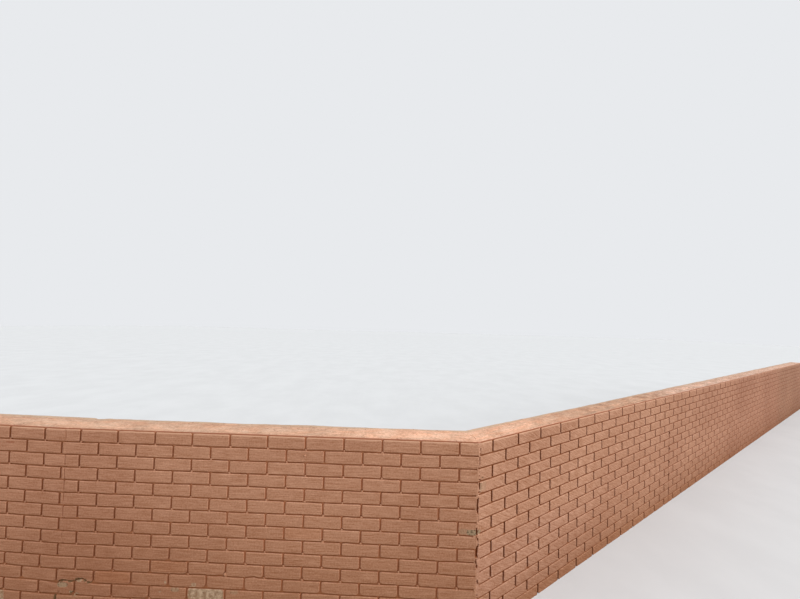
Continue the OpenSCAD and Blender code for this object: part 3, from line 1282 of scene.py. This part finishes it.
# Dark paint round the holes of the right run's first seam: painted shade of the holes
HOLES = [(24.06, row, 0.0150, 0.0125, 2.0, 1.0) for row in HOLE_ROWS]
WARM_BRICKS = [
    (-19.0, 11.52, 0.095, 0.029, 8.0, 0.7),
    (-9.0, 7.50, 0.095, 0.029, 8.0, 0.4),
    (-16.0, 10.50, 0.095, 0.029, 8.0, 0.4),
]


def marks_along(path, half_height, strength):
    """A mark on each stretch of a path of half bricks and rows down."""
    stretches = []
    for (place, row), (next_place, next_row) in zip(path, path[1:]):
        half_width = abs(next_place - place) * HALF_BRICK / 2 + 0.001
        rise = abs(next_row - row) * COURSE_PITCH / 2
        middle = ((place + next_place) / 2, (row + next_row) / 2)
        stretches.append((*middle, half_width, half_height + 0.6 * rise, 2.0, strength))
    return stretches


CRACKED_STRETCHES = marks_along(CRACKED_JOINT[1:-1], 0.0045, 0.85)


def streaks(shader, on_right):
    """Fine streaks in the paint: level on the left run, and down to the right on the right run."""
    level = shader.noise(shader.wall, (10.0, 60.0, 190.0), 5.0, 0.6, 0.3)
    sockets = {"Vector": shader.wall, "Angle": RIGHT_STREAK_ANGLE}
    turned = shader.node("ShaderNodeVectorRotate", sockets, rotation_type="Y_AXIS")[0]
    slanted = shader.noise(turned, (14.0, 60.0, 170.0), 5.0, 0.6, 0.3)
    return shader.math("MULTIPLY_ADD", shader.math("SUBTRACT", slanted, level), on_right, level)


def edge_highlights(shader, recess, broken):
    """How much paler the paint is along the edges of the bricks, as painted highlights."""
    edge = shader.times(shader.map(recess, 0.0003, 0.0010), shader.map(recess, 0.0034, 0.0018))
    edge = shader.times(edge, shader.map(shader.ragged, 0.3, 0.7, 0.04, 0.15))
    from_rim = shader.swung(shader.attribute("rim"), (broken, 0.016))
    return shader.plus(edge, shader.map(from_rim, 0.0075, 0.001, 0.0, 0.05))


def run_shades(shader, on_right):
    """Masks of the darker stretches of the wall, each with the share of the colour that is left."""
    low_corner = shader.times(shader.map(shader.z, 0.52, 0.42), shader.map(shader.s, 1.4, 0.4), on_right)
    stretches = [(shader.map(shader.s, low, high), shade) for low, high, shade in RUN_SHADES]
    return [(on_right, RIGHT_SHADE), *stretches, (low_corner, LOW_CORNER_SHADE)]


def shaded_foot(shader, mottle):
    """Share of painted shade towards the foot: it reaches higher on the left run."""
    left = shader.map(shader.z, 0.88, 0.08)
    right = shader.map(shader.z, 0.42, -0.02)
    on_right = shader.map(shader.s, -0.02, 0.02)
    foot = shader.plus(left, shader.times(on_right, shader.math("SUBTRACT", right, left)))
    return shader.times(foot, shader.map(mottle, 0.25, 0.75, 0.8, 1.2))


def shaded_sides(shader, colour, recess, on_right):
    """The colour with painted shade down the sides of the bricks: darker, browner paint on their flanks
    and ledges, and on their upright edges far from the corner.
    """
    upward = shader.split(shader.node("ShaderNodeNewGeometry")["Normal"])[2]
    far_left = shader.map(shader.s, -0.9, -2.0)
    flank = shader.over(linear(LEFT_FLANK), (far_left, LEFT_FAR_FLANK), (on_right, RIGHT_FLANK))
    ledge = shader.over(linear(LEFT_LEDGE), (on_right, RIGHT_LEDGE))
    side = shader.mix(shader.map(upward, 0.3, 0.7), flank, ledge)
    upright = shader.map(shader.off(upward, 0.0), 0.5, 0.2)
    from_corner = shader.map(shader.off(shader.s, 0.0), 0.6, 2.4)
    dark_edge = shader.times(shader.map(recess, 0.0005, 0.0020), from_corner, upright)
    return shader.mix(shader.most(shader.map(recess, 0.0016, 0.0056), dark_edge), colour, side)


def marked(shader, colour, recess, tint, broken):
    """The colour with bare patches, stains, cracks, and painted shade in the holes and slots, and how far
    they are sunk.
    """
    on_face = shader.map(recess, 0.0045, 0.0020)
    dull = shader.times(shader.marks(DULL_PATCHES), on_face)
    pale = shader.times(shader.marks(PALE_PATCHES), on_face)
    crack = shader.marks(CRACKS + CRACKED_STRETCHES, 1.0)
    pitted = shader.map(shader.noise(shader.wall, 160.0, 2.0, 0.5), 0.40, 0.32, 0.0, 0.7)
    dull_stone = shader.over(linear(DULL_DARK), (shader.map(shader.ragged, 0.34, 0.56), DULL_LIGHT))
    light = shader.map(broken, 0.35, 0.65)
    pale_stone = shader.over(linear(PALE_DARK), (light, PALE_LIGHT), (pitted, DULL_DARK))
    colour = shader.mix(pale, shader.mix(dull, colour, dull_stone), pale_stone)
    colour = shader.over(
        colour,
        (shader.marks(STAINS, 1.0), STAIN),
        (shader.marks(HOLES, 0.6), HOLE_SHADE),
        (crack, CRACK_DARK),
        (shader.most(shader.map(recess, 0.0088, 0.0125), shader.map(tint, -1.2, -2.0)), SLOT_SHADE),
    )
    return colour, shader.plus(shader.most(dull, pale), shader.times(crack, 1.5))


def wall_paint(name, tint_share, lump_height):
    """Salmon masonry paint: fine grain, soft mottling, painted highlights along the edges, painted shade
    towards the foot, along the runs and down the sides of the bricks, and bare patches.
    """
    shader = Shader(name)
    shader.follow(shader.attribute("wall", "Vector"))
    wall, s, z = shader.wall, shader.s, shader.z
    recess = shader.attribute("recess")
    tint = shader.attribute("tint")
    on_right = shader.map(s, -0.0005, 0.0005)
    cloud = shader.noise(wall, 1.3, 3.0, 0.5)
    mottle = shader.noise(wall, 14.0, 4.0, 0.6)
    broken = shader.noise(wall, 48.0, 3.0, 0.6)
    speckle = shader.noise(wall, 115.0, 3.0, 0.7)
    grain = shader.noise(wall, 520.0, 3.0, 0.6)
    streak = streaks(shader, on_right)

    value = shader.swung(0.0, (speckle, 0.80), (streak, 1.0))
    # The grain shows stronger on the right run, as painted shading of its texture
    value = shader.times(value, shader.map(s, -0.3, 0.3, 1.0, 1.35))
    value = shader.swung(value, (mottle, 0.28))
    value = shader.plus(value, shader.times(shader.most(tint, -1.0), tint_share))
    value = shader.plus(value, edge_highlights(shader, recess, broken))
    colour = shader.over(linear(BRICK_LIGHT), (shader.map(cloud, 0.3, 0.7), BRICK_DARK))
    colour = shader.grained(colour, value, GRAIN_HUE)
    colour = shader.shaded(colour, *run_shades(shader, on_right))
    colour = shader.over(colour, (shader.map(z, *TOP_LEDGE, 0.0, 0.6), CAP_LEFT))
    colour = shader.shaded(
        colour,
        (shaded_foot(shader, mottle), FOOT_SHADE),
        (shader.map(z, 0.10, 0.03), GROUND_BAND_SHADE),
        (shader.marks(WARM_BRICKS), WARM_SHADE),
    )
    colour = shaded_sides(shader, colour, recess, on_right)
    colour, sunk = marked(shader, colour, recess, tint, broken)

    layers = [(streak, 0.0026, 0.6), (speckle, 0.0016, 0.5), (grain, 0.0006, 0.5)]
    if lump_height:
        layers.append((shader.ragged, lump_height, 0.6))
    normal = shader.bumps(*layers, (shader.times(sunk, -1.0), 0.0012, 0.8))
    return shader.finish(colour, shader.map(mottle, 0.2, 0.8, 0.78, 0.92), normal)


def joint_paint(name, floor_colour):
    """The same paint down in the joints, darker as painted shade, with more painted shade far along the
    right run and towards the foot.
    """
    shader = Shader(name)
    place = shader.place()
    shader.follow(shader.vector("SUBTRACT", place, BAYS[CORNER_STATION].start_point))
    x, _, z = shader.split(place)
    mottle = shader.noise(place, 16.0, 4.0, 0.6)
    grain = shader.noise(place, 420.0, 3.0, 0.6)
    colour = shader.brightness(linear(floor_colour), shader.map(mottle, 0.3, 0.7, 0.88, 1.1))
    colour = shader.brightness(colour, shader.map(x, -0.2, 5.1, 1.0, 0.88))
    colour = shader.shaded(colour, (shader.map(z, 0.7, 0.05), FOOT_SHADE))
    colour = shader.over(colour, (shader.marks(CRACKED_STRETCHES, 1.0), CRACK_DARK))
    normal = shader.bumps((mottle, 0.004, 0.5), (grain, 0.0008, 0.6))
    return shader.finish(colour, shader.map(grain, 0.3, 0.7, 0.82, 0.95), normal)


def cap_crack(shader, s, depth, cloud):
    """A thin crack across the capping, just on the right run."""
    path = shader.swung(shader.times(depth, 0.12), (cloud, 0.05))
    line = shader.map(shader.off(s, shader.plus(path, 0.007)), 0.0030, 0.0010, 0.0, 0.8)
    return shader.times(line, shader.map(depth, 0.030, 0.045), shader.map(depth, 0.125, 0.105))


def cap_paint():
    """Trowelled paint on the capping, lighter than the walls' as painted light on the top, palest near the
    corner with painted shade along the runs, and with worn scratches.
    """
    shader = Shader("cap_paint")
    wall = shader.attribute("wall", "Vector")
    s, depth, _ = shader.split(wall)
    cloud = shader.noise(wall, 9.0, 3.0, 0.55)
    blob = shader.noise(wall, (7.0, 22.0, 10.0), 3.0, 0.55, 0.6)
    trowel = shader.noise(wall, (14.0, 80.0, 60.0), 4.0, 0.6, 0.8)
    grain = shader.noise(wall, 480.0, 3.0, 0.6)
    speckle = shader.noise(wall, 110.0, 3.0, 0.7)
    scratch = shader.noise(wall, (26.0, 60.0, 60.0), 3.0, 0.6, 2.0)
    pits = shader.noise(wall, (48.0, 105.0, 105.0), 2.0, 0.5, 0.5)

    colour = shader.over(
        linear(CAP_CORNER),
        (shader.map(s, -0.50, -1.0), CAP_LEFT),
        (shader.map(s, 0.1, 1.3), CAP_RIGHT),
        (shader.map(s, 2.0, 2.8), CAP_FAR),
    )
    hue = shader.mix(shader.map(blob, 0.35, 0.65), CAP_WARM + (1.0,), CAP_CHALKY + (1.0,))
    colour = shader.mix(1.0, colour, hue, "MULTIPLY")
    value = shader.swung(0.0, (cloud, 0.65), (trowel, 0.90), (speckle, 1.05))
    value = shader.times(value, shader.map(s, 0.8, 1.8, 1.0, 1.6))
    colour = shader.grained(colour, value, CAP_GRAIN_HUE)
    colour = shader.brightness(colour, shader.map(depth, 0.010, 0.042, 0.95, 1.07))
    colour = shader.brightness(colour, shader.map(depth, 0.055, 0.125, 1.0, 0.90))
    back = shader.map(shader.swung(depth, (blob, 0.03)), 0.116, 0.134, 0.0, 0.6)
    worn = shader.map(scratch, 0.62, 0.70, 0.0, 0.6)
    pit = shader.map(pits, 0.665, 0.71, 0.0, 0.75)
    crack = cap_crack(shader, s, depth, cloud)
    # Painted shade down the capping's sides
    flank = shader.map(shader.attribute("recess"), 0.0008, 0.0026)
    colour = shader.over(
        colour, (back, CAP_BACK), (worn, CAP_WORN), (pit, CAP_PIT), (crack, CAP_CRACK), (flank, CAP_FLANK)
    )
    sunk = shader.times(shader.most(worn, pit, crack), -1.0)
    normal = shader.bumps(
        (trowel, 0.003, 0.5), (speckle, 0.0016, 0.5), (grain, 0.0005, 0.5), (sunk, 0.0015, 0.7)
    )
    return shader.finish(colour, shader.map(trowel, 0.3, 0.7, 0.70, 0.88), normal)


# Stage
def soft_world():
    """An even pale sky, a little brighter overhead, that the camera sees in one colour."""
    world = bpy.data.worlds.new("studio")
    bpy.context.scene.world = world
    nodes = Nodes(world)
    upward = nodes.split(nodes.node("ShaderNodeTexCoord")["Generated"])[2]
    light = nodes.map(upward, 0.0, 1.0, *SKY_LIGHT, curve="LINEAR")
    seen = nodes.rays("Camera", "Glossy", "Transmission")
    background = nodes.tree.nodes["Background"]
    nodes.feed(background.inputs["Color"], nodes.mix(seen, light, linear(SKY_COLOUR)))
    background.inputs["Strength"].default_value = 1.0


def add_sun(name, towards, strength, degrees, colour):
    """A wide soft lamp that shines from the given direction."""
    light = bpy.data.lights.new(name, "SUN")
    light.energy = strength
    light.angle = math.radians(degrees)
    light.color = colour
    lamp = bpy.data.objects.new(name, light)
    lamp.rotation_mode = "QUATERNION"
    lamp.rotation_quaternion = Vector(towards).to_track_quat("Z", "Y")
    bpy.context.scene.collection.objects.link(lamp)


def lay_floor():
    """A wide pale floor that takes the shadow. It bounces less light than it shows."""
    mesh = bpy.data.meshes.new("floor")
    corners = [(x * FLOOR_SIZE, y * FLOOR_SIZE, 0) for x, y in ((-1, -1), (1, -1), (1, 1), (-1, 1))]
    mesh.from_pydata(corners, [], [[0, 1, 2, 3]])
    shader = Shader("floor_finish")
    place = shader.place()
    dust = shader.noise(place, 1.5, 4.0, 0.6)
    shown = shader.brightness(linear(FLOOR_COLOUR), shader.map(dust, 0.3, 0.7, 0.97, 1.02))
    colour = shader.mix(shader.rays("Camera", "Glossy"), FLOOR_BOUNCE, shown)
    normal = shader.bumps((shader.noise(place, 60.0, 3.0, 0.6), 0.001, 0.2))
    mesh.materials.append(shader.finish(colour, 0.9, normal))
    floor = bpy.data.objects.new("floor", mesh)
    bpy.context.scene.collection.objects.link(floor)


def add_camera():
    """The camera that took the photo."""
    camera_data = bpy.data.cameras.new("photo_camera")
    camera_data.sensor_fit = "HORIZONTAL"
    camera_data.sensor_width = SENSOR_WIDTH
    camera_data.lens = FOCAL_PIXELS / PHOTO_WIDTH * SENSOR_WIDTH
    camera_data.shift_y = SHIFT_Y
    camera_data.clip_start = 0.05
    camera_data.clip_end = 200.0
    camera = bpy.data.objects.new("photo_camera", camera_data)
    aim = Matrix.Rotation(CAMERA_YAW, 4, "Z") @ Matrix.Rotation(math.pi / 2 + CAMERA_PITCH, 4, "X")
    camera.matrix_world = Matrix.Translation(CAMERA_PLACE) @ aim @ Matrix.Rotation(CAMERA_ROLL, 4, "Z")
    bpy.context.scene.collection.objects.link(camera)
    bpy.context.scene.camera = camera


# Build
add_camera()
soft_world()
add_sun("key", (0.45, -0.55, 0.95), 0.57, 50.0, (1.0, 0.98, 0.95))
add_sun("side", (0.95, -0.35, 0.45), 2.05, 70.0, (0.98, 0.99, 1.0))
lay_floor()

paint = wall_paint("brick_paint", 0.022, 0.0)
joints = {
    "left": joint_paint("left_joint_paint", LEFT_FLOOR),
    "right": joint_paint("right_joint_paint", RIGHT_FLOOR),
}
top_paint = cap_paint()
mortar = wall_paint("filling_paint", 0.24, 0.0022)

for bay in BAYS:
    near = bay.number == 1
    lay_bricks(bay, True, FINE if near else PLAIN, paint)
    lay_bricks(bay, False, BACK, paint)
    lay_capping(bay, top_paint)
    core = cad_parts[bay.named("core")]
    for material_slot in core.material_slots:
        material_slot.material = joints[bay.side]
lay_end_bricks(BAYS[0], False, paint)
lay_end_bricks(BAYS[-1], True, paint)

left_columns = LEFT_SEAM_REACH * SEAM_SHAPE
right_columns = RIGHT_SEAM_REACH * SEAM_SHAPE
fill_seam(1, left_columns, SEAM_ROW_STEP, plain_surface(1, LEFT_SLOTS, False), mortar)
fill_seam(CORNER_STATION, CORNER_COLUMNS, CORNER_ROW_STEP, corner_surface, mortar)
for station, slots in ((3, RIGHT_SLOTS), (4, FAR_SLOTS), (5, FAR_SLOTS)):
    fill_seam(station, right_columns, SEAM_ROW_STEP, plain_surface(station, slots, True), mortar)

bpy.context.scene.view_settings.view_transform = "Standard"
